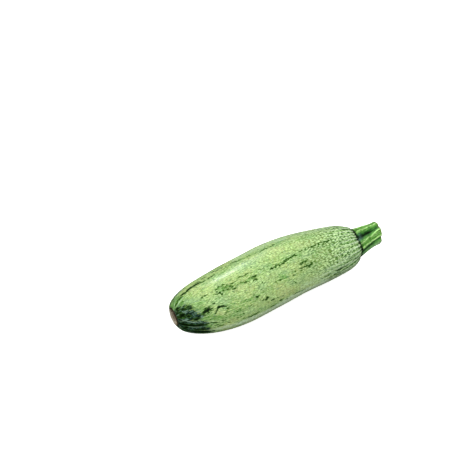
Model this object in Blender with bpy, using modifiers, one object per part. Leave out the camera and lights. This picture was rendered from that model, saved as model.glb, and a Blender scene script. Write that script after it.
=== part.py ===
"""A pale green zucchini lying on its side, as picked: its fruit, its cut stem and the scar of its flower.

Blender 4.5 script that stands alone: blender --background --python part.py
+X runs from the flower end to the stem and +Z is up. The origin is on the table, under the fruit's middle.
"""

import math

import bmesh
import bpy

MM = 0.001

# The fruit's outline. A station is a place along its own axis, counted from above the origin.
FLOWER_END = -80 * MM
STEM_END = 80 * MM
WIDEST_AT = -4.2 * MM
FRUIT_RADIUS = 24.8 * MM
FLOWER_END_POWER = 2.53
STEM_END_POWER = 4.93
STEM_END_TAPER = 0.174

# Its axis bends a little to one side and back.
BEND = 1.8 * MM
BEND_START = -8.3 * MM
BEND_HALF_WAVE = 60 * MM

# Five low ribs in line with the stem's ridges and fainter ones between them, highest at the two ends.
RIBS = 5
RIB_HEIGHT = 0.45 * MM
RIB_SHARE_AT_WIDEST = 0.35
BETWEEN_RIBS_SHARE = 0.6
RIB_GROWTH_POWER = 4
RIB_FADE = 4 * MM

# The fruit is pressed flat where it lies.
REST_FLAT_DEPTH = 0.7 * MM
AXIS_HEIGHT = FRUIT_RADIUS - REST_FLAT_DEPTH

# The stem: five ridges that turn slowly round it, wide at the fruit and a little wider again at the cut.
STEM_LENGTH = 23.3 * MM
STEM_BASE_RADIUS = 12.7 * MM
STEM_NECK_RADIUS = 8.8 * MM
STEM_CUT_FLARE = 0.4 * MM
STEM_FLARE_POWER = 1.4
CUT_FLARE_FROM = 0.75
RIDGE_ANGLE = 150
RIDGE_TOP_SHARE = 0.38
RIDGE_CHANNEL = 0.035
GROOVE_DEPTH_AT_BASE = 0.13
GROOVE_DEPTH_AT_CUT = 0.22
GROOVE_DEPTH_GAIN = 0.13
STEM_TWIST = -24
STEM_RISE = 0.6 * MM
CUT_SLANT = 9
CUT_SLANT_TOWARDS = 37
CUT_SLANT_POWER = 4
CUT_RIM = 0.6 * MM
CUT_HOLLOW = 0.8 * MM

# The seat that the stem grows out of, and how far its ridged outline reaches over the shoulder.
SEAT_GAP = 0.35 * MM
STEM_SEAT_DEPTH = 0.9 * MM
STEM_SEAT_LIP = 13.15 * MM
STEM_SEAT_FADE = 5 * MM

# The scar: a low corky button with a raised rim and a pit, as the flower left it.
SCAR_RADIUS = 7.6 * MM
SCAR_THICKNESS = 1.5 * MM
SCAR_RIM_RADIUS = 5.8 * MM
SCAR_RIM_HEIGHT = 0.35 * MM
SCAR_PIT_DEPTH = 0.7 * MM
SCAR_CORNERS = 5
SCAR_CORNER_CUT = 0.07
SCAR_SEAT_DEPTH = 0.95 * MM
SCAR_SEAT_LIP = 8.4 * MM

# How finely the pieces are faceted
FRUIT_SIDES = 80
FRUIT_STATIONS = 36
STEM_SIDES = 80
STEM_STATIONS = 12
SCAR_SIDES = 40
POLE_MERGE = 0.01 * MM

# sRGB colours and roughness
SKIN = ("A6C47C", 0.42)
GREEN_STEM = ("5C8A42", 0.55)
CORK = ("9A7F5E", 0.8)


def smooth_step(share):
    """0 below 0, 1 above 1, and a smooth rise between them."""
    share = min(max(share, 0.0), 1.0)
    return share * share * (3.0 - 2.0 * share)


def linear(channel):
    """One sRGB channel, 0 to 1, as linear light."""
    return channel / 12.92 if channel <= 0.04045 else ((channel + 0.055) / 1.055) ** 2.4


def material(name, look):
    """A Principled material from an sRGB hex colour and a roughness."""
    colour, roughness = look
    channels = [linear(int(colour[i : i + 2], 16) / 255) for i in (0, 2, 4)]
    made = bpy.data.materials.new(name)
    made.use_nodes = True
    shader = made.node_tree.nodes["Principled BSDF"]
    shader.inputs["Base Color"].default_value = (*channels, 1.0)
    shader.inputs["Roughness"].default_value = roughness
    shader.inputs["Metallic"].default_value = 0.0
    made.diffuse_color = (*channels, 1.0)
    return made


def turned(name, outline, sides):
    """A closed solid turned round X from (station, radius) points that begin and end on the axis."""
    mesh = bpy.data.meshes.new(name + "_outline")
    steps = [(i, i + 1) for i in range(len(outline) - 1)]
    mesh.from_pydata([(station, radius, 0.0) for station, radius in outline], steps, [])
    guide = bpy.data.objects.new(name + "_outline", mesh)
    bpy.context.scene.collection.objects.link(guide)
    screw = guide.modifiers.new("turn", "SCREW")
    screw.axis = "X"
    screw.steps = sides
    screw.render_steps = sides
    screw.use_merge_vertices = True
    screw.merge_threshold = POLE_MERGE
    graph = bpy.context.evaluated_depsgraph_get()
    solid = bpy.data.meshes.new_from_object(guide.evaluated_get(graph))
    bpy.data.objects.remove(guide)
    bpy.data.meshes.remove(mesh)
    solid.name = name
    return bpy.data.objects.new(name, solid)


def reshape(obj, place):
    """Moves each vertex of a turned solid to place(station, radius, angle) and points its faces outwards."""
    for vertex in obj.data.vertices:
        x, y, z = vertex.co
        vertex.co = place(x, math.hypot(y, z), math.atan2(z, y))
    shape = bmesh.new()
    shape.from_mesh(obj.data)
    bmesh.ops.triangulate(shape, faces=shape.faces)
    bmesh.ops.recalc_face_normals(shape, faces=shape.faces)
    shape.to_mesh(obj.data)
    shape.free()
    obj.data.shade_smooth()


def fruit_share(station):
    """How far a station is from the widest girth, from 0 there to 1 at the end on its own side."""
    end = FLOWER_END if station < WIDEST_AT else STEM_END
    return min((station - WIDEST_AT) / (end - WIDEST_AT), 1.0)


def superellipse(share, power):
    """Height over a share of the half width of a superellipse of unit size."""
    return (1.0 - share**power) ** (1.0 / power)


def fruit_radius(station):
    """A superellipse on each side of the widest girth, with the stem side tapered by a smooth step."""
    share = fruit_share(station)
    if station < WIDEST_AT:
        return FRUIT_RADIUS * superellipse(share, FLOWER_END_POWER)
    taper = 1.0 - STEM_END_TAPER * smooth_step(share)
    return FRUIT_RADIUS * taper * superellipse(share, STEM_END_POWER)


def flower_station(radius):
    """Station on the flower side at which the fruit has this radius."""
    share = superellipse(radius / FRUIT_RADIUS, FLOWER_END_POWER)
    return WIDEST_AT + (FLOWER_END - WIDEST_AT) * share


def stem_station(radius):
    """Station on the stem side, past the taper, at which the fruit has this radius."""
    share = superellipse(radius / (FRUIT_RADIUS * (1.0 - STEM_END_TAPER)), STEM_END_POWER)
    return WIDEST_AT + (STEM_END - WIDEST_AT) * share


SCAR_SEAT_FLOOR = flower_station(SCAR_SEAT_LIP) + SCAR_SEAT_DEPTH
STEM_SEAT_FLOOR = stem_station(STEM_SEAT_LIP) - STEM_SEAT_DEPTH


def axis_bend(station):
    """Sideways place of the fruit's axis: a sine along its length."""
    return BEND * math.sin(math.pi * (station - BEND_START) / BEND_HALF_WAVE)


def ridge_wave(angle, ridges=RIBS):
    """Phase of the ridges round the axis: 0 on a ridge, pi in a groove."""
    return ridges * (angle - math.radians(RIDGE_ANGLE))


def ridged(angle, groove_depth):
    """Share of the stem's full radius at an angle: ridges, faintly hollowed on top, and round grooves."""
    from_ridge = math.acos(math.cos(ridge_wave(angle))) / math.pi
    channel = RIDGE_CHANNEL * max(0.0, 1.0 - (from_ridge / RIDGE_TOP_SHARE) ** 2)
    groove = groove_depth * smooth_step((from_ridge - RIDGE_TOP_SHARE) / (1.0 - RIDGE_TOP_SHARE))
    return 1.0 - groove - channel


def rib(angle, station):
    """Height of the fruit's ribs: a wave round the axis and its double, growing towards the ends."""
    phase = ridge_wave(angle)
    wave = math.cos(phase) + BETWEEN_RIBS_SHARE * math.cos(2.0 * phase)
    growth = fruit_share(station) ** RIB_GROWTH_POWER
    return RIB_HEIGHT * wave * (RIB_SHARE_AT_WIDEST + (1.0 - RIB_SHARE_AT_WIDEST) * growth)


def fruit_outline():
    """Seat of the scar, skin with its stations closer together at the ends, and seat of the stem."""
    first, last = flower_station(SCAR_SEAT_LIP), stem_station(STEM_SEAT_LIP)
    middle, half = (first + last) / 2.0, (last - first) / 2.0
    turns = [math.pi * i / FRUIT_STATIONS for i in range(FRUIT_STATIONS + 1)]
    skin = [middle - half * math.cos(turn) for turn in turns]
    scar_floor = SCAR_RADIUS + SEAT_GAP
    stem_floor = STEM_BASE_RADIUS + SEAT_GAP
    return (
        [(SCAR_SEAT_FLOOR, share * scar_floor) for share in (0.0, 0.5, 1.0)]
        + [(station, fruit_radius(station)) for station in skin]
        + [(STEM_SEAT_FLOOR, share * stem_floor) for share in (1.0, 0.5, 0.0)]
    )


def fruit_place(station, radius, angle):
    """Ribs on the skin, the stem's outline in its seat, the bend of the axis, and the flat it lies on."""
    lip = SCAR_SEAT_LIP if station < WIDEST_AT else STEM_SEAT_LIP
    on_skin = smooth_step((radius - lip) / RIB_FADE)
    if station > WIDEST_AT:
        seat = 1.0 - smooth_step((radius - STEM_SEAT_LIP) / STEM_SEAT_FADE)
        radius *= 1.0 + seat * (ridged(angle, GROOVE_DEPTH_AT_BASE) - 1.0)
    radius += on_skin * rib(angle, station)
    across = radius * math.cos(angle) + axis_bend(station)
    return (station, across, max(radius * math.sin(angle), -AXIS_HEIGHT))


def stem_radius(share):
    """Radius over the ridges: a flare where it joins the fruit and a small one at the cut."""
    base = (STEM_BASE_RADIUS - STEM_NECK_RADIUS) * (1.0 - share) ** STEM_FLARE_POWER
    cut = STEM_CUT_FLARE * smooth_step((share - CUT_FLARE_FROM) / (1.0 - CUT_FLARE_FROM))
    return STEM_NECK_RADIUS + base + cut


def stem_outline():
    """Flat base, ridged side, bevelled rim of the cut and its shallow hollow."""
    side = [i / STEM_STATIONS for i in range(STEM_STATIONS + 1)]
    rim = stem_radius(1.0)
    hollow = STEM_LENGTH - CUT_HOLLOW
    return (
        [(0.0, 0.0), (0.0, STEM_BASE_RADIUS / 2.0)]
        + [(share * (STEM_LENGTH - CUT_RIM), stem_radius(share)) for share in side]
        + [(STEM_LENGTH, rim - CUT_RIM), (hollow, rim / 2.0), (hollow, 0.0)]
    )


def stem_place(station, radius, angle):
    """Grooves that are deepest halfway, turned along the stem, with a slight rise and a slanted cut."""
    share = station / STEM_LENGTH
    depth = GROOVE_DEPTH_AT_BASE + (GROOVE_DEPTH_AT_CUT - GROOVE_DEPTH_AT_BASE) * share
    radius *= ridged(angle, depth + GROOVE_DEPTH_GAIN * math.sin(math.pi * share))
    angle += math.radians(STEM_TWIST) * share
    towards_long_side = radius * math.cos(angle - math.radians(CUT_SLANT_TOWARDS))
    slant = math.tan(math.radians(CUT_SLANT)) * towards_long_side * share**CUT_SLANT_POWER
    rise = STEM_RISE * share * share
    return (station + slant, radius * math.cos(angle), radius * math.sin(angle) + rise)


def scar_outline():
    """Flat back, rounded edge, raised rim and the pit in the middle."""
    top = SCAR_THICKNESS
    return [
        (0.0, 0.0),
        (0.0, SCAR_RADIUS / 2.0),
        (0.0, SCAR_RADIUS * 0.95),
        (top * 0.35, SCAR_RADIUS),
        (top * 0.8, SCAR_RADIUS * 0.94),
        (top + SCAR_RIM_HEIGHT, SCAR_RIM_RADIUS),
        (top, SCAR_RIM_RADIUS * 0.7),
        (top - SCAR_PIT_DEPTH / 2.0, SCAR_RIM_RADIUS * 0.35),
        (top - SCAR_PIT_DEPTH, 0.0),
    ]


def scar_place(station, radius, angle):
    """Five blunt corners, like the flower's base."""
    radius *= 1.0 - SCAR_CORNER_CUT * (1.0 - math.cos(ridge_wave(angle, SCAR_CORNERS))) / 2.0
    return (station, radius * math.cos(angle), radius * math.sin(angle))


def piece(name, outline, sides, place, look, collection, axis, at, turn=0):
    """One named solid: turned, reshaped, coloured, and set on the fruit's axis with a turn about +Z."""
    obj = turned(name, outline, sides)
    collection.objects.link(obj)
    reshape(obj, place)
    obj.data.materials.append(look)
    obj.parent = axis
    obj.location = at
    obj.rotation_euler = (0.0, 0.0, math.radians(turn))
    return obj


def main():
    for old in list(bpy.data.objects):
        bpy.data.objects.remove(old)
    zucchini = bpy.data.collections.new("zucchini")
    bpy.context.scene.collection.children.link(zucchini)
    axis = bpy.data.objects.new("fruit_axis", None)
    zucchini.objects.link(axis)
    axis.location = (0.0, 0.0, AXIS_HEIGHT)

    skin = material("pale_green_skin", SKIN)
    piece("fruit", fruit_outline(), FRUIT_SIDES, fruit_place, skin, zucchini, axis, (0.0, 0.0, 0.0))

    stem_at = (STEM_SEAT_FLOOR + SEAT_GAP, axis_bend(STEM_SEAT_FLOOR), 0.0)
    green = material("green_stem", GREEN_STEM)
    piece("stem", stem_outline(), STEM_SIDES, stem_place, green, zucchini, axis, stem_at)

    scar_at = (SCAR_SEAT_FLOOR - SEAT_GAP, axis_bend(SCAR_SEAT_FLOOR), 0.0)
    cork = material("cork_scar", CORK)
    piece("blossom_scar", scar_outline(), SCAR_SIDES, scar_place, cork, zucchini, axis, scar_at, turn=180)


main()
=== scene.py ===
"""A pale green zucchini lying on a white table: its fine surfaces and finishes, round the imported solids."""

import functools
import math

import bpy
import numpy as np
from mathutils import Matrix, Vector


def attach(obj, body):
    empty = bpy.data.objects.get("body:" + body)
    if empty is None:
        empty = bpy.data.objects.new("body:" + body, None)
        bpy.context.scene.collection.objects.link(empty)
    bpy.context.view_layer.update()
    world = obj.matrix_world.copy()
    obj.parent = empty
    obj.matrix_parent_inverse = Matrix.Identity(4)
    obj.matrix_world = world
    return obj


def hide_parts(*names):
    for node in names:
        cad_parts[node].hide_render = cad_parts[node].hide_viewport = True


MM = 0.001
TURN = 2.0 * math.pi

# The fruit's outline. A station is a place along its own axis, counted from above the origin.
FLOWER_END = -80 * MM
STEM_END = 80 * MM
WIDEST_AT = -4.2 * MM
FRUIT_RADIUS = 24.8 * MM
FLOWER_END_POWER = 2.53
STEM_END_POWER = 4.93
STEM_END_TAPER = 0.174
BEND = 1.8 * MM
BEND_START = -8.3 * MM
BEND_HALF_WAVE = 60 * MM
AXIS_HEIGHT = FRUIT_RADIUS - 0.7 * MM

# Ribs of the fruit, in line with the stem's ridges
RIBS = 5
RIB_HEIGHT = 0.45 * MM
RIB_SHARE_AT_WIDEST = 0.35
BETWEEN_RIBS_SHARE = 0.6
RIB_GROWTH_POWER = 4
RIB_FADE = 4 * MM

# The stem
STEM_LENGTH = 23.3 * MM
STEM_BASE_RADIUS = 12.7 * MM
STEM_NECK_RADIUS = 8.8 * MM
STEM_CUT_FLARE = 0.4 * MM
STEM_FLARE_POWER = 1.4
CUT_FLARE_FROM = 0.75
RIDGE_ANGLE = math.radians(150)
RIDGE_TOP_SHARE = 0.38
RIDGE_CHANNEL = 0.035
GROOVE_DEPTH_AT_BASE = 0.13
GROOVE_DEPTH_AT_CUT = 0.22
GROOVE_DEPTH_GAIN = 0.13
STEM_TWIST = math.radians(-24)
STEM_RISE = 0.6 * MM
CUT_SLANT = math.radians(9)
CUT_SLANT_TOWARDS = math.radians(37)
CUT_SLANT_POWER = 4
CUT_RIM = 0.6 * MM
CUT_HOLLOW = 0.8 * MM
CUT_EDGE = 0.3 * MM

# Seats of the stem and of the scar in the fruit. Both fill their seats here, but for a fine crease.
SEAT_CREASE = 0.12 * MM
SEAT_LIFT = 0.02 * MM
STEM_SEAT_DEPTH = 0.9 * MM
STEM_SEAT_LIP = 13.15 * MM
STEM_SEAT_FADE = 5 * MM
SCAR_SEAT_DEPTH = 0.95 * MM
SCAR_SEAT_LIP = 8.1 * MM

# The scar. Its edge is given as shares of its thickness and of its radius, and its pit as shares of the
# radius of its rim.
SCAR_RADIUS = 7.6 * MM
SCAR_THICKNESS = 1.5 * MM
SCAR_EDGE = ((0.0, 0.95), (0.35, 1.0), (0.8, 0.94))
SCAR_FACE_FROM = 0.4 * SCAR_THICKNESS
SCAR_RIM_RADIUS = 5.8 * MM
SCAR_RIM_HEIGHT = 0.35 * MM
SCAR_PIT_DEPTH = 0.7 * MM
SCAR_PIT_FROM = 0.7
SCAR_PIT_HALFWAY = 0.35
SCAR_CORNERS = 5
SCAR_CORNER_CUT = 0.07

# Fine relief: furrows at the fruit's two ends, and the stem's fibres. A ripple is a row of waves round the
# axis: for each its height, its count to a turn and its phase.
END_FURROWS = 34
END_FURROW_HEIGHT = 0.13 * MM
END_FURROWS_FROM = 55 * MM
END_FURROWS_FADE = 7 * MM
END_FURROWS_LIP = 0.8 * MM
FURROW_RIPPLE = ((1.5, 3, 1.0), (1.1, 7, 0.0))
STEM_FIBRES = 64
FIBRE_HEIGHT = 0.06 * MM
FIBRE_RIPPLE = ((2.0, 4, 0.0),)
FIBRES_GROWTH, FIBRES_START = 2.0, 0.6
SCAR_RIPPLE = ((0.02, 9, 1.0), (0.015, 23, 0.0), (0.01, 41, 0.0))

# Low lumps: their size along the surface, their waves round the axis, and their height. Each wave's own size
# is that size times a seeded share from LUMP_SIZES.
SKIN_LUMPS = (34 * MM, 7, 0.16 * MM)
STEM_LUMPS = (12 * MM, 9, 0.12 * MM)
CUT_DENTS = (9 * MM, 4, 0.12 * MM)
CUT_DENTS_STRETCH, CUT_DENTS_GROWTH, CUT_DENTS_START = 3.0, 20.0, 18.0
CORK_CRUMBS = (1.6 * MM, 24, 0.11 * MM)
CORK_CRUMBS_FROM = 1.5 * MM
LUMP_SIZES = (0.7, 1.4)
SKIN_SEED, UNSEEN_SEED, STEM_SEED, CORK_SEED = 7, 21, 11, 3

# Marks on the skin. There are ten stripes, on the ribs and between them. A stroke is where it starts and
# ends along the skin in mm from the widest girth, with the stem at the far end, its angle round the axis at
# both in degrees, its width in mm at the widest girth, and its strength.
STRIPES = 10
STRIPE_ANGLE = math.radians(110)
STRIPE_WANDERS = ((0.12, 19.0, 2.0), (0.05, 7.0, 3.0))
STROKE_WOBBLE = 0.45
STROKE_WAVES = (1.3, 0.47)
STROKE_END_WIDTH = 0.6
FLECK_FADE = 0.8
WASH_FADE = 4.0
GREEN_FADE = 2.0
PALE_FADE = 1.2

# Where the photograph doesn't show the skin: its stripes' angles, and ranges for their seeded flecks, the
# green round each fleck, and the rays from the flower end
UNSEEN_STRIPES = (2, 38, 218, 254, 290, 326)
FLECKS_PER_STRIPE = 18
FLECK_STARTS, FLECK_WANDER, FLECK_LENGTH_ROOTS = (-70.0, 72.0), 4.0, (0.8, 2.6)
FLECK_WIDTHS, FLECK_STRENGTHS, FLECK_SLANT = (1.1, 1.9), (0.6, 1.2), 1.0
FLECK_GREEN_WIDTH, FLECK_GREEN_STRENGTH = 2.5, 0.7
RAY_SIDES, RAY_ENDS = (-9.0, 0.0, 9.0), (-72.0, -58.0)
RAY_WIDTHS, RAY_STRENGTHS = (2.0, 5.0), (0.3, 0.9)

# The strokes that the photograph shows
UPPER_LINE = [
    (-66, -62, 70, 71, 3.2, 1.3), (-62, -56, 71, 67, 3.2, 1.4), (-56, -50, 66, 68, 2.8, 1.4),
    (-50, -45, 69, 71, 1.8, 1.1), (-42, -41, 69, 69, 2.4, 1.1), (-40, -37, 69, 67, 1.8, 1),
    (-52, -48, 61, 62, 1.8, 0.8), (-46, -43, 59, 59, 2, 0.9), (-36, -34, 54, 54, 2, 0.8),
    (-33, -32, 57, 57, 2, 0.9), (-29, -28, 56, 56, 1.5, 0.8), (-25, -21, 60, 65, 1, 0.7),
    (-20, -16, 59, 63, 1.7, 0.8), (-16, -12, 64, 64, 1.4, 0.8), (-9, -4, 66, 67, 1.3, 0.6),
    (-5, 0, 65, 68, 0.9, 0.5), (4, 10, 69, 70, 1.3, 0.8), (12, 14, 70, 70, 1.3, 1),
    (15, 17, 69, 69, 1.4, 1.1), (20, 26, 64, 68, 0.9, 0.5), (27, 33, 68, 63, 1, 0.6),
    (38, 40, 55, 58, 1, 0.6), (53, 57, 83, 82, 1.4, 0.7), (58, 59, 81, 81, 1.2, 0.8),
    (73, 81, 79, 81, 1.8, 1.4),
]
MIDDLE_STRIPE = [
    (-56, -55, 110, 109, 1.2, 0.6), (-54, -53, 105, 105, 1.7, 1.1), (-52, -50, 104, 103, 1.5, 0.9),
    (-45, -41, 110, 110, 1.1, 1), (-41, -40, 110, 110, 2, 1.3), (-40, -39, 114, 114, 1.7, 0.8),
    (-42, -41, 101, 101, 1.8, 1), (-39, -36, 100, 101, 1, 0.7), (-38, -34, 104, 106, 1.1, 0.6),
    (-34, -28, 111, 114, 1.2, 0.8), (-31, -29, 114, 114, 1.6, 0.9), (-32, -31, 107, 107, 1.7, 1),
    (-32, -26, 100, 104, 0.9, 0.5), (-43, -42, 105, 106, 1.4, 0.9), (-40, -39, 98, 98, 1.3, 0.9),
    (-38, -37, 108, 109, 1.4, 0.9), (-36, -35, 98, 99, 1.3, 0.8), (-35, -34, 109, 109, 1.3, 0.9),
    (-34, -33, 102, 103, 1.4, 0.9), (-31, -30, 109, 110, 1.4, 0.9), (-29, -28, 104, 104, 1.5, 1),
    (-27, -26, 109, 110, 1.3, 0.8), (-25, -20, 107, 111, 0.9, 0.6), (-21, -18, 111, 113, 1.1, 0.9),
    (-19, -18, 114, 118, 1.1, 0.8), (-23, -20, 99, 100, 1.4, 0.6), (-20, -19, 100, 100, 1.6, 0.9),
    (-17, -15, 101, 100, 1.2, 0.9), (-16, -14, 110, 110, 1, 0.6), (-14, -10, 110, 110, 1.5, 1.1),
    (-13, -11, 116, 116, 1.6, 1), (-8, -7, 125, 128, 1.3, 0.9), (-6, -2, 104, 105, 1.1, 0.6),
    (3, 5, 112, 112, 1.9, 1.2), (7, 8, 114, 113, 1.4, 1), (8, 9, 111, 111, 1.3, 0.9),
    (9, 13, 113, 113, 1.5, 0.9), (13, 21, 113, 109, 1.4, 1), (21, 24, 109, 109, 1.5, 1),
    (25, 26, 108, 108, 1.8, 1.2), (31, 33, 105, 104, 1.4, 1), (35, 36, 104, 104, 1.3, 0.8),
    (38, 39, 104, 104, 1.3, 0.8), (40, 42, 104, 103, 1.6, 1), (43, 45, 104, 103, 1.3, 1),
    (43, 44, 109, 108, 1.3, 0.8), (46, 48, 106, 102, 1.7, 1.1), (51, 52, 105, 105, 1.6, 1),
    (50, 54, 100, 101, 1.3, 1), (54, 57, 102, 101, 1.8, 1.1), (57, 59, 101, 100, 1.1, 0.9),
]
LOWER_FLECKS = [
    (26, 29, 125, 127, 1.6, 0.7), (27, 32, 127, 126, 1.7, 1), (31, 32, 124, 123, 1.4, 0.7),
    (24, 28, 134, 134, 1.4, 0.7), (27, 32, 134, 135, 1.5, 1), (32, 33, 139, 139, 1.3, 0.8),
    (32, 35, 136, 135, 1.6, 1.1), (34, 38, 135, 132, 1.2, 0.8), (25, 26, 138, 138, 1.4, 0.6),
    (19, 21, 134, 136, 1.5, 0.6), (18, 19, 140, 140, 1.5, 0.6), (17, 18, 152, 155, 1.6, 0.8),
    (33, 34, 150, 149, 1.3, 0.6), (2, 4, 137, 139, 1.1, 0.7), (4, 8, 139, 137, 1, 0.7),
    (-10, -9, 141, 142, 1.4, 0.5), (-18, -17, 137, 138, 1.4, 0.5), (-59, -57, 139, 137, 1.6, 0.8),
    (-57, -55, 135, 135, 3.4, 1.5), (-56, -53, 136, 135, 3, 1.6), (-54, -52, 133, 133, 2.8, 1.4),
    (-52, -50, 136, 138, 2, 0.7), (-48, -47, 124, 125, 2, 0.9), (-49, -46, 144, 137, 1.6, 1.3),
    (-46, -44, 134, 136, 2.4, 1.5), (-44, -40, 135, 137, 1.6, 1.4), (-44, -42, 126, 130, 1.2, 0.5),
    (-42, -40, 152, 149, 2.2, 0.7), (-45, -44, 165, 165, 2.2, 0.5), (-55, -54, 147, 155, 1.4, 0.9),
    (-56, -54, 130, 128, 1.6, 1), (-53, -51, 129, 130, 1.5, 1), (-58, -56, 141, 143, 1.6, 1),
    (-52, -50, 133, 132, 1.6, 1.2), (-55, -53, 139, 140, 1.5, 0.9), (-40, -39, 142, 143, 1.5, 0.5),
    (-34, -33, 155, 154, 1.4, 0.7), (-31, -30, 152, 153, 1.6, 0.6), (-29, -28, 165, 165, 1.5, 0.7),
    (-22, -21, 155, 155, 2, 0.7), (-16, -14, 145, 145, 1.9, 1.2), (-12, -11, 155, 155, 1.7, 0.7),
    (-9, -7, 157, 155, 2, 1.3), (-4, -2, 165, 165, 1.8, 1.1), (1, 2, 167, 168, 1.5, 0.9),
    (56, 57, 151, 151, 1.5, 0.8), (55, 56, 139, 139, 1.3, 0.7), (62, 63, 141, 141, 1.3, 0.7),
]
# The long strokes at about 208 to 214 degrees lie low on the side, along the fruit's lower edge: painted
# shade there
LOW_LINE = [
    (-55, -51, 165, 166, 1.2, 1.1), (-52, -48, 166, 168, 1.3, 1.2), (-51, -49, 174, 174, 1.6, 1),
    (-54, -53, 172, 172, 1.4, 0.7), (-49, -45, 179, 178, 1.5, 1), (-43, -39, 171, 177, 1, 0.6),
    (-35, -31, 169, 170, 1.2, 0.7), (-29, -24, 177, 179, 1.3, 0.7), (-24, -16, 180, 179, 1.6, 1.1),
    (-5, 0, 181, 181, 1.3, 0.9), (3, 5, 176, 177, 1.6, 0.9), (5, 7, 177, 177, 1, 0.6),
    (4, 7, 168, 170, 1, 0.6), (9, 11, 184, 185, 1.1, 0.6), (16, 27, 181, 185, 1.4, 0.7),
    (48, 49, 172, 172, 1.4, 0.7), (-60, -22, 212, 213, 1.4, 0.6), (-62, -30, 214, 214, 4, 0.7),
    (-20, 12, 213, 212, 1.2, 0.6), (14, 62, 212, 208, 1.3, 0.6), (57, 60, 176, 173, 1.6, 1.1),
    (60, 64, 172, 173, 1.3, 1), (52, 58, 182, 180, 1.2, 0.8), (55, 60, 171, 171, 2, 1.3),
    (60, 69, 171, 170, 1.4, 1), (63, 70, 163, 162, 1.3, 0.9), (70, 76, 168, 165, 1.5, 1),
    (66, 74, 158, 156, 1.2, 0.8), (70, 78, 152, 150, 1.3, 0.9), (42, 50, 176, 175, 1.3, 0.8),
    (50, 60, 186, 182, 1.5, 0.9), (60, 70, 182, 178, 1.6, 1), (70, 78, 177, 173, 1.5, 1),
    (46, 62, 194, 191, 1.3, 0.8), (62, 76, 190, 184, 1.5, 0.9),
]
# The strokes at about 196 to 232 degrees darken the underside of the flower end: painted shade there
TIP_DARKS = [
    (-77, -70, 166, 167, 5, 1.7), (-70, -65, 168, 169, 3.6, 1.7), (-65, -59, 169, 168, 2.8, 1.5),
    (-59, -55, 168, 167, 1.8, 0.9), (-71, -69, 109, 110, 2.6, 0.9), (-67, -66, 106, 106, 2, 0.8),
    (-75, -73, 98, 100, 5, 1.1), (-74, -71, 126, 128, 7, 1.1), (-69, -68, 136, 138, 4, 1.1),
    (-65, -62, 147, 148, 2.8, 1), (-76, -71, 103, 109, 2.2, 1), (-71, -67, 112, 117, 1.8, 0.9),
    (-69, -68, 104, 104, 1.8, 0.8), (-77, -73, 115, 117, 2.6, 1.1), (-75, -72, 98, 101, 3, 0.9),
    (-68, -65, 111, 110, 1.8, 0.9), (-66, -64, 116, 118, 2.4, 0.8), (-77, -71, 131, 134, 6.5, 0.8),
    (-69, -67, 137, 137, 3, 1.2), (-75, -71, 195, 180, 6, 1.5), (-66, -58, 187, 184, 2.6, 1.1),
    (-72, -52, 200, 196, 4, 1.6), (-65, -61, 149, 146, 1.6, 0.9), (-68, -67, 90, 91, 2.4, 0.9),
    (-71, -66, 76, 77, 2.4, 1.1), (-75, -72, 84, 82, 3, 1), (-76, -70, 214, 216, 4, 1),
    (-74, -64, 228, 232, 3, 0.9),
]
# The wash: the flower end's own dark green, with painted shade where it reaches under the fruit, past about
# 200 degrees
TIP_WASH = [
    (-80, -69, 101, 104, 9, 0.75), (-80, -66, 112, 116, 12, 1.1), (-80, -65, 126, 130, 12, 1.2),
    (-80, -62, 142, 142, 12, 1.2), (-80, -59, 158, 164, 12, 1.2), (-80, -58, 176, 182, 12, 1.2),
    (-80, -57, 198, 202, 14, 1.3), (-80, -61, 220, 224, 14, 1.1),
]
GREEN_STREAKS = [
    (-79, -69, 62, 66, 14, 1.3), (-78, -69, 80, 88, 20, 1.9), (-68, -56, 104, 124, 26, 0.7),
    (-70, -66, 82, 80, 6, 1.1), (-66, -44, 68, 70, 2.6, 0.7), (-44, -18, 69, 64, 2.8, 0.5),
    (-18, 34, 65, 68, 2.4, 0.5), (-41, -30, 103, 109, 7, 0.72), (-32, -18, 107, 112, 4, 0.6),
    (-24, -14, 99, 102, 3.4, 0.5), (-16, -9, 111, 114, 3.6, 0.42), (3, 26, 113, 109, 2.6, 0.45),
    (31, 58, 105, 102, 3, 0.36), (25, 39, 128, 135, 6, 0.5), (7, 12, 130, 136, 7, 0.6),
    (-58, -50, 137, 134, 5, 0.8), (-58, -53, 146, 154, 9, 0.7), (-50, -40, 136, 140, 6, 0.3),
    (-60, -46, 150, 156, 12, 0.75), (-60, -48, 122, 128, 9, 0.5), (-46, -30, 158, 166, 10, 0.5),
    (-44, -20, 138, 148, 15, 0.5), (-60, -54, 170, 176, 6, 1), (-55, -40, 167, 172, 3, 0.5),
    (-30, -15, 178, 180, 3, 0.6), (50, 70, 172, 175, 5, 0.7), (45, 76, 163, 161, 1.4, 0.9),
    (60, 79, 192, 186, 1.6, 0.9),
]
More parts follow.
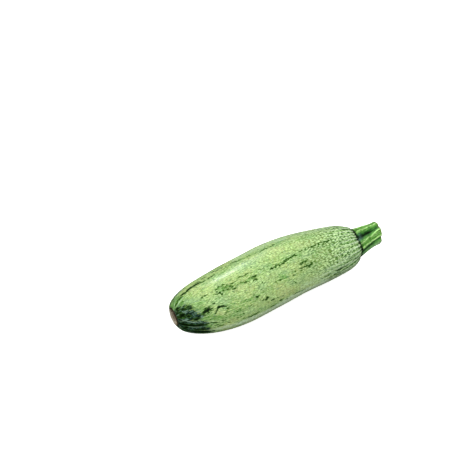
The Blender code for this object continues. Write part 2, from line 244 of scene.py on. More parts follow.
# Among the pale streaks, the wide bands at about 188 to 203 degrees are a painted reflection of the white
# table on the fruit's low side, and the wide bands at about 47 to 62 degrees are painted light on its upper
# side
PALE_STREAKS_AND_SHEEN = [
    (-74, -66, 90, 81, 2.2, 0.9), (-78, -72, 92, 68, 3, 0.8), (-72, -68, 122, 120, 3.4, 0.9),
    (-77, -75, 123, 124, 4, 0.7), (-74, -68, 145, 154, 3.6, 0.9), (-68, -61, 154, 159, 2.6, 0.9),
    (-61, -50, 161, 162, 2.2, 0.6), (-71, -61, 176, 175, 2.6, 0.8), (-79, -75, 200, 191, 4.5, 0.8),
    (-70, -68, 103, 103, 3, 0.9), (-69, -65, 192, 190, 2, 0.5), (47, 78, 158, 149, 1.6, 1),
    (41, 72, 167, 166, 1.5, 0.9), (70, 79, 164, 158, 1.4, 1), (60, 79, 175, 170, 1.6, 1),
    (38, 60, 182, 178, 1.8, 0.8), (58, 77, 187, 180, 1.8, 1), (50, 76, 200, 190, 2.4, 1),
    (66, 78, 143, 142, 1.2, 0.8), (-57, -44, 190, 189, 4, 0.7), (-50, -30, 188, 190, 8, 0.85),
    (-34, -8, 189, 190, 9, 1), (-10, 36, 191, 190, 9.5, 1.15), (30, 56, 191, 195, 7.5, 1.15),
    (52, 74, 195, 190, 6, 0.8), (22, 68, 173, 171, 15, 0.55), (-18, 72, 51, 47, 15, 0.55),
    (20, 66, 62, 60, 8, 0.5), (-30, 20, 203, 203, 6, 0.8), (-67, -57, 96, 106, 10, 0.4),
]

# Grids, points of the outlines, and the rounding of their corners
FRUIT_GRID = (320, 288)
STEM_GRID = (150, 320)
SCAR_GRID = (70, 180)
FRUIT_CROWDING = 0.5
SEAT_ROWS = 20
SKIN_POINTS = 400
SIDE_POINTS = 100
BELL_REACH = 3
OUTLINE_STEP = 0.05 * MM
FRUIT_ROUNDING = 0.35 * MM
STEM_ROUNDING = 0.2 * MM
SCAR_ROUNDING = 0.18 * MM

# The photograph's camera: 85 mm on a 36 mm wide sensor, at 28 degrees round and 50 degrees up
CAMERA_AZIMUTH = math.radians(-27.9)
CAMERA_ELEVATION = math.radians(50)
CAMERA_DISTANCE = 838.8 * MM
CAMERA_RIGHT = -30.1 * MM
CAMERA_UP = 55.4 * MM
CAMERA_LENS = 85
CAMERA_SENSOR = 36
CAMERA_NEAR = 10 * MM

# The skin's colours: ground away from the stem and near it, pale flecks, streaks, wash and dark flecks
GROUND_STOPS = ((0.32, "82A46C"), (0.45, "8DAA69"), (0.55, "94AD67"), (0.68, "9DAE6E"))
SHOULDER_STOPS = ((0.3, "224812"), (0.5, "305A1C"), (0.7, "426426"))
FLECK_STOPS = ((0.0, "B1CC8C"), (1.0, "C4E4A2"))
STREAK_GREEN = "568A3C"
WASH_STOPS = ((0.44, "010904"), (0.5, "0B2216"), (0.55, "345C46"), (0.61, "84A08C"))
HALO_GREEN = "4A7A26"
# Colours of the pale streaks, part of them painted sheen: within the wash, and elsewhere
FROST_AND_SHEEN_GREEN = "7C9A84"
PALE_GREEN = "C8E0BA"
DARK_GREEN = "041403"
MARK_GREEN = "24440F"
# Noises of the skin: sizes along and across the fruit in mm, detail and roughness, of its soft patches,
# streaks, grain, dashes, grit and the wash's blots
SKIN_NOISES = (
    (15.0, 9.0, 1.5, 0.5),
    (6.5, 1.0, 3.0, 0.6),
    (2.0, 0.7, 2.0, 0.7),
    (3.0, 0.75, 1.0, 0.6),
    (1.6, 0.6, 1.0, 0.6),
    (3.0, 2.2, 3.0, 0.7),
)
GRIT_SHARE = 0.5
GRIT_SHARE_AT_STEM = 0.26
FLECK_ROWS = 150.0
FLECK_SPACING = 2.9
FLECK_SHAKE = (1.0, 2.6, 0.0)
SHOULDER_FROM = 12.0
SHOULDER_TO = 78.0
CREASE_FROM = 80.8
CREASE_TO = 82.4
WAX_IOR = 1.45
WAX_ROUGHNESS = 0.225
SKIN_RELIEF = 0.15 * MM

# The stalk from the middle of a ridge, its pale edges, its side and its groove, darkest at its bottom, partly
# its own deeper green and partly painted shade; the cut face from the middle to the edge; and the length
# along its outline, in mm, over which the edge of the cut has dried
STALK_STOPS = (
    (0.0, "41782A"),
    (0.2, "55902F"),
    (0.31, "AEDA8A"),
    (0.42, "5A963C"),
    (0.66, "37702C"),
    (0.82, "123010"),
    (1.0, "030C03"),
)
# Sizes of its fibres and speckle in mm, and where its grooves, shallower towards the cut, take less painted
# shade
FIBRE_LENGTH, FIBRE_WIDTH = 9.0, 0.55
SPECKLE_LENGTH, SPECKLE_WIDTH = 1.8, 1.0
GROOVE_PALER_FROM, GROOVE_PALER_TO, GROOVE_SHARE_AT_CUT = 26.0, 32.0, 0.74
STALK_IOR = 1.42
STALK_RELIEF = 0.2 * MM
FIBRE_PALE = "B8E090"
FIBRE_DEEP = "1C4A12"
BASE_SHADE_FROM = 15.8
BASE_SHADE_TO = 14.2
# Where a painted grey sheen lies low in the grooves, and the painted reflection on the stalk's underside
SHEEN_FROM = 20.0
SHEEN_TO = 16.0
STALK_SHEEN = "5F8274"
STALK_UNDERSIDE_REFLECTION = "74906C"
DRIED_EDGE = "6A6434"
CUT_STOPS = ((0.0, "C9D6A6"), (0.45, "B9C987"), (0.62, "8FA95C"), (0.75, "7A7A45"))
VESSEL_GREEN = "6E7F45"
DRIED_FROM = 34.3
DRIED_TO = 36.5

# The cork from its pit to its edge
CORK_STOPS = ((0.0, "5E4C3A"), (0.35, "B0A28C"), (0.68, "D8CCB6"), (0.84, "A89A78"), (0.95, "1C1409"))
CORK_CRACK_AND_SHADOW = "2E2116"
CORK_IOR = 1.45
CORK_ROUGHNESS = 0.85
CORK_RELIEF = 0.3 * MM

# The table, the room and the lights: name, direction, distance, width, height, power in watts, and whether
# the light also shows as a highlight
BOARD_STOPS = ((0.0, "F2F2F1"), (1.0, "F5F5F4"))
TABLE_HALF = 4.0
TABLE_GLOW = 0.55
BOARD_GRAINS_PER_METRE = 400.0
BACKDROP_RADIUS = 3.5
BACKDROP_GRID = (24, 64)
STUDIO_WHITE = "FFFFFF"
STUDIO_STRENGTH = 0.5
STUDIO_FROM_BELOW = 0.4
SOFTBOXES = (
    ("overhead", (-0.3, -0.6, 1.0), 1.3, 1.3, 1.3, 18.4, False),
    ("window", (0.115, 0.66, 0.75), 1.0, 0.19, 0.27, 4.5, True),
    ("far_window", (0.24, 0.8, 0.56), 1.0, 0.12, 0.3, 0.9, True),
    ("back_wall", (0.1, 1.0, 0.4), 1.3, 1.3, 0.6, 2.4, False),
)


def smooth_step(share):
    """0 below 0, 1 above 1, and 3 s^2 - 2 s^3 between them."""
    share = np.clip(share, 0.0, 1.0)
    return share * share * (3.0 - 2.0 * share)


def bump(distance):
    """A smooth hill of height 1 at distance 0: e to the minus distance squared."""
    return np.exp(-distance * distance)


def superellipse(share, power):
    """Height over a share of the half width of a superellipse of unit size."""
    return np.maximum(1.0 - share**power, 0.0) ** (1.0 / power)


def fruit_share(station):
    """How far a station is from the widest girth, from 0 there to 1 at the end on its own side."""
    end = np.where(station < WIDEST_AT, FLOWER_END, STEM_END)
    return np.clip((station - WIDEST_AT) / (end - WIDEST_AT), 0.0, 1.0)


def fruit_radius(station):
    """A superellipse on each side of the widest girth, with the stem side tapered by a smooth step."""
    share = fruit_share(station)
    flower_side = superellipse(share, FLOWER_END_POWER)
    stem_side = superellipse(share, STEM_END_POWER) * (1.0 - STEM_END_TAPER * smooth_step(share))
    return FRUIT_RADIUS * np.where(station < WIDEST_AT, flower_side, stem_side)


def flower_station(radius):
    """Station on the flower side at which the fruit has this radius."""
    share = superellipse(radius / FRUIT_RADIUS, FLOWER_END_POWER)
    return WIDEST_AT + (FLOWER_END - WIDEST_AT) * share


def stem_station(radius):
    """Station on the stem side, past the taper, at which the fruit has this radius."""
    share = superellipse(radius / (FRUIT_RADIUS * (1.0 - STEM_END_TAPER)), STEM_END_POWER)
    return WIDEST_AT + (STEM_END - WIDEST_AT) * share


SCAR_SEAT_FLOOR = flower_station(SCAR_SEAT_LIP) + SCAR_SEAT_DEPTH
STEM_SEAT_FLOOR = stem_station(STEM_SEAT_LIP) - STEM_SEAT_DEPTH


def axis_bend(station):
    """Sideways place of the fruit's axis: a sine along its length."""
    return BEND * np.sin(math.pi * (station - BEND_START) / BEND_HALF_WAVE)


def ridge_wave(angle):
    """Phase of the ridges round the axis: 0 on a ridge, pi in a groove."""
    return RIBS * (angle - RIDGE_ANGLE)


def from_ridge(angle):
    """How far an angle is from the nearest ridge, 0 on its middle and 1 in the groove."""
    return np.arccos(np.cos(ridge_wave(angle))) / math.pi


def ridged(angle, groove_depth):
    """Share of the stem's full radius at an angle: ridges, faintly hollowed on top, and round grooves."""
    share = from_ridge(angle)
    channel = RIDGE_CHANNEL * np.maximum(0.0, 1.0 - (share / RIDGE_TOP_SHARE) ** 2)
    groove = groove_depth * smooth_step((share - RIDGE_TOP_SHARE) / (1.0 - RIDGE_TOP_SHARE))
    return 1.0 - groove - channel


def rounded(points, rounding, count, crowding=0.0):
    """An outline's points with the corners averaged over the rounding length, and the two ends on the axis.

    Returns station, radius and length along the outline, each an array of count numbers. The average is
    taken over evenly spaced points with the weights of a bell curve. The spacing of what is returned grows
    and shrinks by the crowding, as 1 - crowding * cos(2 pi share), so it is finer at the two ends.
    """
    points = np.array(points)
    run = np.concatenate([[0.0], np.cumsum(np.hypot(*np.diff(points, axis=0).T))])
    even = np.linspace(0.0, run[-1], int(run[-1] / OUTLINE_STEP))
    reach = int(BELL_REACH * rounding / OUTLINE_STEP)
    weights = bump(np.arange(-reach, reach + 1) * OUTLINE_STEP / rounding)
    smooth = []
    for values, mirror in ((points[:, 0], 1.0), (points[:, 1], -1.0)):
        line = np.interp(even, run, values)
        padded = np.concatenate([mirror * line[reach:0:-1], line, mirror * line[-2 : -reach - 2 : -1]])
        smooth.append(np.convolve(padded, weights / weights.sum(), mode="valid"))
    run = np.concatenate([[0.0], np.cumsum(np.hypot(np.diff(smooth[0]), np.diff(smooth[1])))])
    share = np.linspace(0.0, 1.0, count)
    picked = run[-1] * (share - crowding * np.sin(TURN * share) / TURN)
    return np.interp(picked, run, smooth[0]), np.interp(picked, run, smooth[1]), picked


def fruit_outline():
    """Seat of the scar, skin, and seat of the stem, from axis to axis."""
    first, last = flower_station(SCAR_SEAT_LIP), stem_station(STEM_SEAT_LIP)
    turns = np.linspace(0.0, math.pi, SKIN_POINTS)
    skin = (first + last) / 2.0 - (last - first) / 2.0 * np.cos(turns)
    scar_floor, stem_floor = SCAR_RADIUS + SEAT_CREASE, STEM_BASE_RADIUS + SEAT_CREASE
    return (
        [(SCAR_SEAT_FLOOR, 0.0), (SCAR_SEAT_FLOOR, scar_floor)]
        + list(zip(skin, fruit_radius(skin)))
        + [(STEM_SEAT_FLOOR, stem_floor), (STEM_SEAT_FLOOR, 0.0)]
    )


def in_scene(name, data):
    """A new object that holds this data, linked into the scene."""
    thing = bpy.data.objects.new(name, data)
    bpy.context.scene.collection.objects.link(thing)
    return thing


def closed_grid(name, x, y, z, fields):
    """A closed mesh from whole arrays of places: rows run from pole to pole, columns all the way round.

    The first and last rows are the two poles. fields are attributes: an array of numbers for each place, or
    an array of three numbers for each.
    """
    rows, columns = x.shape
    places = np.stack([x, y, z], axis=-1)
    inner = places[1:-1].reshape(-1, 3)
    verts = np.concatenate([places[:1, 0], inner, places[-1:, 0]])
    here = 1 + np.arange((rows - 2) * columns).reshape(rows - 2, columns)
    there = np.roll(here, -1, axis=1)
    quads = np.stack([here[:-1], there[:-1], there[1:], here[1:]], axis=-1).reshape(-1, 4)
    first = np.stack([np.zeros(columns, int), there[0], here[0]], axis=-1)
    last = np.stack([np.full(columns, len(verts) - 1), here[-1], there[-1]], axis=-1)
    mesh = bpy.data.meshes.new(name)
    mesh.from_pydata(verts.tolist(), [], first.tolist() + quads.tolist() + last.tolist())
    mesh.shade_smooth()
    for field, values in fields.items():
        kind = "FLOAT_VECTOR" if values.ndim == 3 else "FLOAT"
        flat = values.reshape(rows, columns, -1)
        flat = np.concatenate([flat[:1, 0], flat[1:-1].reshape(-1, flat.shape[-1]), flat[-1:, 0]])
        layer = mesh.attributes.new(field, kind, "POINT")
        layer.data.foreach_set("vector" if values.ndim == 3 else "value", flat.ravel().astype(np.float32))
    return in_scene(name, mesh)


def soft_noise(rng, along, angle, along_size, turns, height):
    """Low lumps: a sum of waves that close round the axis, with seeded sizes and phases.

    The height over the root of turns, times the sum over n from 1 to turns of sin(2 pi along / size + a)
    times cos(n angle + b), where each n has its own size, a and b.
    """
    total = 0.0
    for count in range(1, turns + 1):
        first, second = rng.uniform(0.0, TURN, 2)
        wave = TURN * along / (along_size * rng.uniform(*LUMP_SIZES))
        total = total + np.sin(wave + first) * np.cos(count * angle + second)
    return height * total / math.sqrt(turns)


def ripple(angle, waves, level=0.0):
    """A level plus height * sin(count * angle + phase) for each of the waves."""
    for height, count, phase in waves:
        level = level + height * np.sin(count * angle + phase)
    return level


def around(along, angle, radius):
    """A place on a plain cylinder for every point: along its axis, and radius times cosine and sine."""
    return np.stack(np.broadcast_arrays(along, radius * np.cos(angle), radius * np.sin(angle)), axis=-1)


def strokes_field(strokes, along, angle, fade):
    """How much of a set of strokes lies on each point: the largest over the strokes.

    A stroke counts its strength on its wavy middle line. It falls off as a bell curve across its width, which
    shrinks towards its two ends, and over the fade past them.
    """
    total = np.zeros(np.broadcast_shapes(along.shape, angle.shape))
    for start, end, first, last, width, strength in strokes:
        share = np.clip((along - start) / (end - start), 0.0, 1.0)
        line = np.radians(first + (last - first) * share)
        across = FRUIT_RADIUS / MM * np.angle(np.exp(1j * (angle - line)))
        quick, slow = along * STROKE_WAVES[0] + first, along * STROKE_WAVES[1] + last
        across = across + STROKE_WOBBLE * np.sin(quick) * np.sin(slow)
        past = np.maximum(np.maximum(start - along, along - end), 0.0)
        swell = STROKE_END_WIDTH + (1.0 - STROKE_END_WIDTH) * np.sin(math.pi * share)
        half_width = width / 2.0 * swell
        total = np.maximum(total, strength * bump(across / half_width) * bump(past / fade))
    return total


def unseen_strokes(rng):
    """Flecks, rays and green streaks for the side that the photograph doesn't show, along its stripes."""
    flecks, rays, greens = [], [], []
    for stripe in UNSEEN_STRIPES:
        for _ in range(FLECKS_PER_STRIPE):
            start, wander = rng.uniform(*FLECK_STARTS), rng.normal(0.0, FLECK_WANDER)
            length, width = rng.uniform(*FLECK_LENGTH_ROOTS) ** 2, rng.uniform(*FLECK_WIDTHS)
            strength = rng.uniform(*FLECK_STRENGTHS)
            place = (start, start + length, stripe + wander, stripe + wander + FLECK_SLANT)
            flecks.append((*place, width, strength))
            greens.append((*place, FLECK_GREEN_WIDTH * width, FLECK_GREEN_STRENGTH * strength))
        for side in RAY_SIDES:
            end, width = rng.uniform(*RAY_ENDS), rng.uniform(*RAY_WIDTHS)
            strength = rng.uniform(*RAY_STRENGTHS)
            rays.append((FLOWER_END / MM, end, stripe + side, stripe + side, width, strength))
    return flecks, rays, greens


def skin_marks(along, angle):
    """Each mark's amount at each point: flecks, wash and green streaks; pale streaks; stripes.

    The stripes are a cosine round the fruit, ten to the turn. Their phase wanders by two sines, each with its
    height, its length along the fruit over 2 pi, and how far it turns with the angle.
    """
    flecks, rays, greens = unseen_strokes(np.random.default_rng(UNSEEN_SEED))
    seen = UPPER_LINE + MIDDLE_STRIPE + LOWER_FLECKS + LOW_LINE + TIP_DARKS
    wander = 0.0
    for (far, length, turning), side in zip(STRIPE_WANDERS, (np.sin(angle), np.cos(angle))):
        wander = wander + far * np.sin(along / length + turning * side)
    stripe = 0.5 + 0.5 * np.cos(STRIPES * (angle - STRIPE_ANGLE + wander))
    kinds = (
        (seen + flecks, FLECK_FADE),
        (TIP_WASH + rays, WASH_FADE),
        (GREEN_STREAKS + greens, GREEN_FADE),
        (PALE_STREAKS_AND_SHEEN, PALE_FADE),
    )
    dark, wash, green, pale = (strokes_field(strokes, along, angle, fade) for strokes, fade in kinds)
    return np.stack([dark, wash, green], axis=-1), pale, np.broadcast_to(stripe, dark.shape)


def fruit_surface():
    """The fruit: its rounded outline turned round the axis, then ribs, furrows, lumps, bend and flat.

    The radius takes the stem's ridged outline near the stem, and ribs elsewhere. Furrows and lumps are moves
    along the outline's normal. The sideways place takes the bend, and the height stops at the table.
    """
    rng = np.random.default_rng(SKIN_SEED)
    station, radius, run = rounded(fruit_outline(), FRUIT_ROUNDING, FRUIT_GRID[0], FRUIT_CROWDING)
    slope_x, slope_r = np.gradient(station, run), np.gradient(radius, run)
    skin_rows = slice(SEAT_ROWS, -SEAT_ROWS)
    run = run - np.interp(WIDEST_AT, station[skin_rows], run[skin_rows])
    station, radius, run, slope_x, slope_r = (v[:, None] for v in (station, radius, run, slope_x, slope_r))
    angle = np.linspace(0.0, TURN, FRUIT_GRID[1], endpoint=False)[None, :]

    on_stem_side = station > WIDEST_AT
    lip = np.where(on_stem_side, STEM_SEAT_LIP, SCAR_SEAT_LIP)
    on_skin = smooth_step((radius - lip) / RIB_FADE)
    seat = on_stem_side * (1.0 - smooth_step((radius - STEM_SEAT_LIP) / STEM_SEAT_FADE))
    round_radius = radius * (1.0 + seat * (ridged(angle, GROOVE_DEPTH_AT_BASE) - 1.0))
    wave = np.cos(ridge_wave(angle)) + BETWEEN_RIBS_SHARE * np.cos(2.0 * ridge_wave(angle))
    growth = fruit_share(station) ** RIB_GROWTH_POWER
    round_radius = round_radius + on_skin * RIB_HEIGHT * wave * (
        RIB_SHARE_AT_WIDEST + (1.0 - RIB_SHARE_AT_WIDEST) * growth
    )

    past_lip = np.maximum(radius - lip, 0.0)
    near_end = np.where(np.abs(run) > END_FURROWS_FROM, bump(past_lip / END_FURROWS_FADE), 0.0)
    near_end = near_end * smooth_step(past_lip / END_FURROWS_LIP)
    furrow_wave = np.cos(END_FURROWS * angle + ripple(angle, FURROW_RIPPLE))
    furrows = END_FURROW_HEIGHT * near_end * furrow_wave
    lumps = soft_noise(rng, run, angle, *SKIN_LUMPS) * on_skin
    move = furrows + lumps

    x = station - move * slope_r
    round_radius = round_radius + move * slope_x
    y = round_radius * np.cos(angle) + axis_bend(station)
    z = np.maximum(round_radius * np.sin(angle), -AXIS_HEIGHT) + AXIS_HEIGHT
    skin = around(run / MM, angle, FRUIT_RADIUS / MM)
    marks, pale, stripe = skin_marks(run / MM, angle)
    lights = np.stack([pale, stripe, furrows / END_FURROW_HEIGHT * on_stem_side], axis=-1)
    return closed_grid("fruit_skin", x, y, z, {"skin": skin, "marks": marks, "lights": lights})


def stem_outline():
    """Base, side, rim of the cut and its shallow hollow, from axis to axis."""
    share = np.linspace(0.0, 1.0, SIDE_POINTS)
    base = (STEM_BASE_RADIUS - STEM_NECK_RADIUS) * (1.0 - share) ** STEM_FLARE_POWER
    cut = STEM_CUT_FLARE * smooth_step((share - CUT_FLARE_FROM) / (1.0 - CUT_FLARE_FROM))
    side = STEM_NECK_RADIUS + base + cut
    hollow = STEM_LENGTH - CUT_HOLLOW
    return (
        [(0.0, 0.0)]
        + list(zip(share * (STEM_LENGTH - CUT_RIM), side))
        + [(STEM_LENGTH, side[-1] - CUT_RIM), (hollow, side[-1] / 2.0), (hollow, 0.0)]
    )


def stem_surface():
    """The stem: its outline turned round the axis, then ridges, fibres, twist, slanted cut and rise.

    The radius is multiplied by the ridges, and fibres and lumps are added to it. The angle turns with the
    length. Near the cut the length grows towards one side, and dents are added to it.
    """
    rng = np.random.default_rng(STEM_SEED)
    station, radius, run = (v[:, None] for v in rounded(stem_outline(), STEM_ROUNDING, STEM_GRID[0]))
    angle = np.linspace(0.0, TURN, STEM_GRID[1], endpoint=False)[None, :]
    share = station / STEM_LENGTH
    depth = GROOVE_DEPTH_AT_BASE + (GROOVE_DEPTH_AT_CUT - GROOVE_DEPTH_AT_BASE) * share
    depth = depth + GROOVE_DEPTH_GAIN * np.sin(math.pi * np.clip(share, 0.0, 1.0))
    fibres = FIBRE_HEIGHT * np.cos(STEM_FIBRES * angle + ripple(angle, FIBRE_RIPPLE))
    uneven = soft_noise(rng, run, angle, *STEM_LUMPS)
    on_side = smooth_step(radius / STEM_NECK_RADIUS * FIBRES_GROWTH - FIBRES_START)
    round_radius = radius * ridged(angle, depth) + (fibres + uneven) * on_side
    turned = angle + STEM_TWIST * share
    towards_long_side = round_radius * np.cos(turned - CUT_SLANT_TOWARDS)
    slant = math.tan(CUT_SLANT) * towards_long_side * np.maximum(share, 0.0) ** CUT_SLANT_POWER
    cut_dents = soft_noise(rng, CUT_DENTS_STRETCH * radius, angle, *CUT_DENTS)
    cut_dents = cut_dents * smooth_step(share * CUT_DENTS_GROWTH - CUT_DENTS_START)

    x = STEM_SEAT_FLOOR + SEAT_LIFT + station + slant + cut_dents
    y = round_radius * np.cos(turned) + axis_bend(STEM_SEAT_FLOOR)
    z = round_radius * np.sin(turned) + STEM_RISE * share * share + AXIS_HEIGHT
    fibre = around(run / MM, angle, STEM_NECK_RADIUS / MM)
    groove = np.broadcast_to(from_ridge(angle), x.shape)
    side_end = run[np.argmax(station[:, 0])]
    cut = np.broadcast_to(smooth_step((run - side_end) / CUT_EDGE), x.shape)
    tone = np.stack(np.broadcast_arrays(groove, cut, round_radius / radius.max()), axis=-1)
    return closed_grid("stem_stalk", x, y, z, {"fibre": fibre, "tone": tone})


def scar_outline():
    """Back, rounded edge, raised rim and the pit in the middle."""
    top = SCAR_THICKNESS
    return [
        (0.0, 0.0),
        *((top * height, SCAR_RADIUS * out) for height, out in SCAR_EDGE),
        (top + SCAR_RIM_HEIGHT, SCAR_RIM_RADIUS),
        (top, SCAR_RIM_RADIUS * SCAR_PIT_FROM),
        (top - SCAR_PIT_DEPTH / 2.0, SCAR_RIM_RADIUS * SCAR_PIT_HALFWAY),
        (top - SCAR_PIT_DEPTH, 0.0),
    ]


def scar_surface():
    """The scar: its outline turned round the axis with five blunt corners and rough cork on its face.

    The radius shrinks between the corners and has a ragged ripple. The face moves along the axis by crumbs,
    which are waves of about a millimetre.
    """
    rng = np.random.default_rng(CORK_SEED)
    station, radius, _ = (v[:, None] for v in rounded(scar_outline(), SCAR_ROUNDING, SCAR_GRID[0]))
    angle = np.linspace(0.0, TURN, SCAR_GRID[1], endpoint=False)[None, :]
    corners = 1.0 - SCAR_CORNER_CUT * (1.0 - np.cos(SCAR_CORNERS * (angle - RIDGE_ANGLE))) / 2.0
    on_face = smooth_step((station - SCAR_FACE_FROM) / SCAR_FACE_FROM)
    crumbs = soft_noise(rng, radius, angle, *CORK_CRUMBS) * smooth_step(radius / CORK_CRUMBS_FROM)
    round_radius = radius * corners * ripple(angle, SCAR_RIPPLE, 1.0)
    x = SCAR_SEAT_FLOOR - SEAT_LIFT - (station + crumbs * on_face)
    y = axis_bend(SCAR_SEAT_FLOOR) - round_radius * np.cos(angle)
    z = AXIS_HEIGHT + round_radius * np.sin(angle)
    cork = around(radius / SCAR_RADIUS, angle, radius / MM)
    return closed_grid("scar_button", x, y, z, {"cork": cork})


def place_camera():
    """The photograph's camera: back, right and up from its angles, and its place along the three."""
    back = Vector(
        (
            math.sin(CAMERA_AZIMUTH) * math.cos(CAMERA_ELEVATION),
            -math.cos(CAMERA_AZIMUTH) * math.cos(CAMERA_ELEVATION),
            math.sin(CAMERA_ELEVATION),
        )
    )
    right = Vector((math.cos(CAMERA_AZIMUTH), math.sin(CAMERA_AZIMUTH), 0.0))
    up = back.cross(right)
    view = bpy.data.cameras.new("camera")
    view.lens, view.sensor_width, view.clip_start = CAMERA_LENS, CAMERA_SENSOR, CAMERA_NEAR
    camera = in_scene("camera", view)
    turn = Matrix((right, up, back)).transposed().to_4x4()
    eye = right * CAMERA_RIGHT + up * CAMERA_UP + back * CAMERA_DISTANCE
    camera.matrix_world = Matrix.Translation(eye) @ turn
    bpy.context.scene.camera = camera


def linear(code):
    """An sRGB hex colour as linear red, green and blue by the sRGB curve, with full alpha."""
    parts = np.array([int(code[place : place + 2], 16) for place in (0, 2, 4)]) / 255.0
    return (*np.where(parts <= 0.04045, parts / 12.92, ((parts + 0.055) / 1.055) ** 2.4).tolist(), 1.0)


def add(material, kind, sockets, out=0, stops=(), **settings):
    """Adds one node to a material and returns the output that out names, or the node where it is None.

    sockets gives an input's value, or the output that feeds it. stops are a colour ramp's places and colours.
    """
    node = material.node_tree.nodes.new("ShaderNode" + kind)
    for name, value in settings.items():
        setattr(node, name, value)
    for name, value in sockets.items():
        if isinstance(value, bpy.types.NodeSocket):
            material.node_tree.links.new(value, node.inputs[name])
        else:
            node.inputs[name].default_value = value
    for number, (place, colour) in enumerate(stops):
        points = node.color_ramp.elements
        point = points[number] if number < 2 else points.new(place)
        point.position, point.color = place, linear(colour)
    return node if out is None else node.outputs[out]


def empty_material(name):
    """A new material without nodes, and the function that adds a node to it."""
    material = bpy.data.materials.new(name)
    material.use_nodes = True
    material.node_tree.nodes.clear()
    return material, functools.partial(add, material)


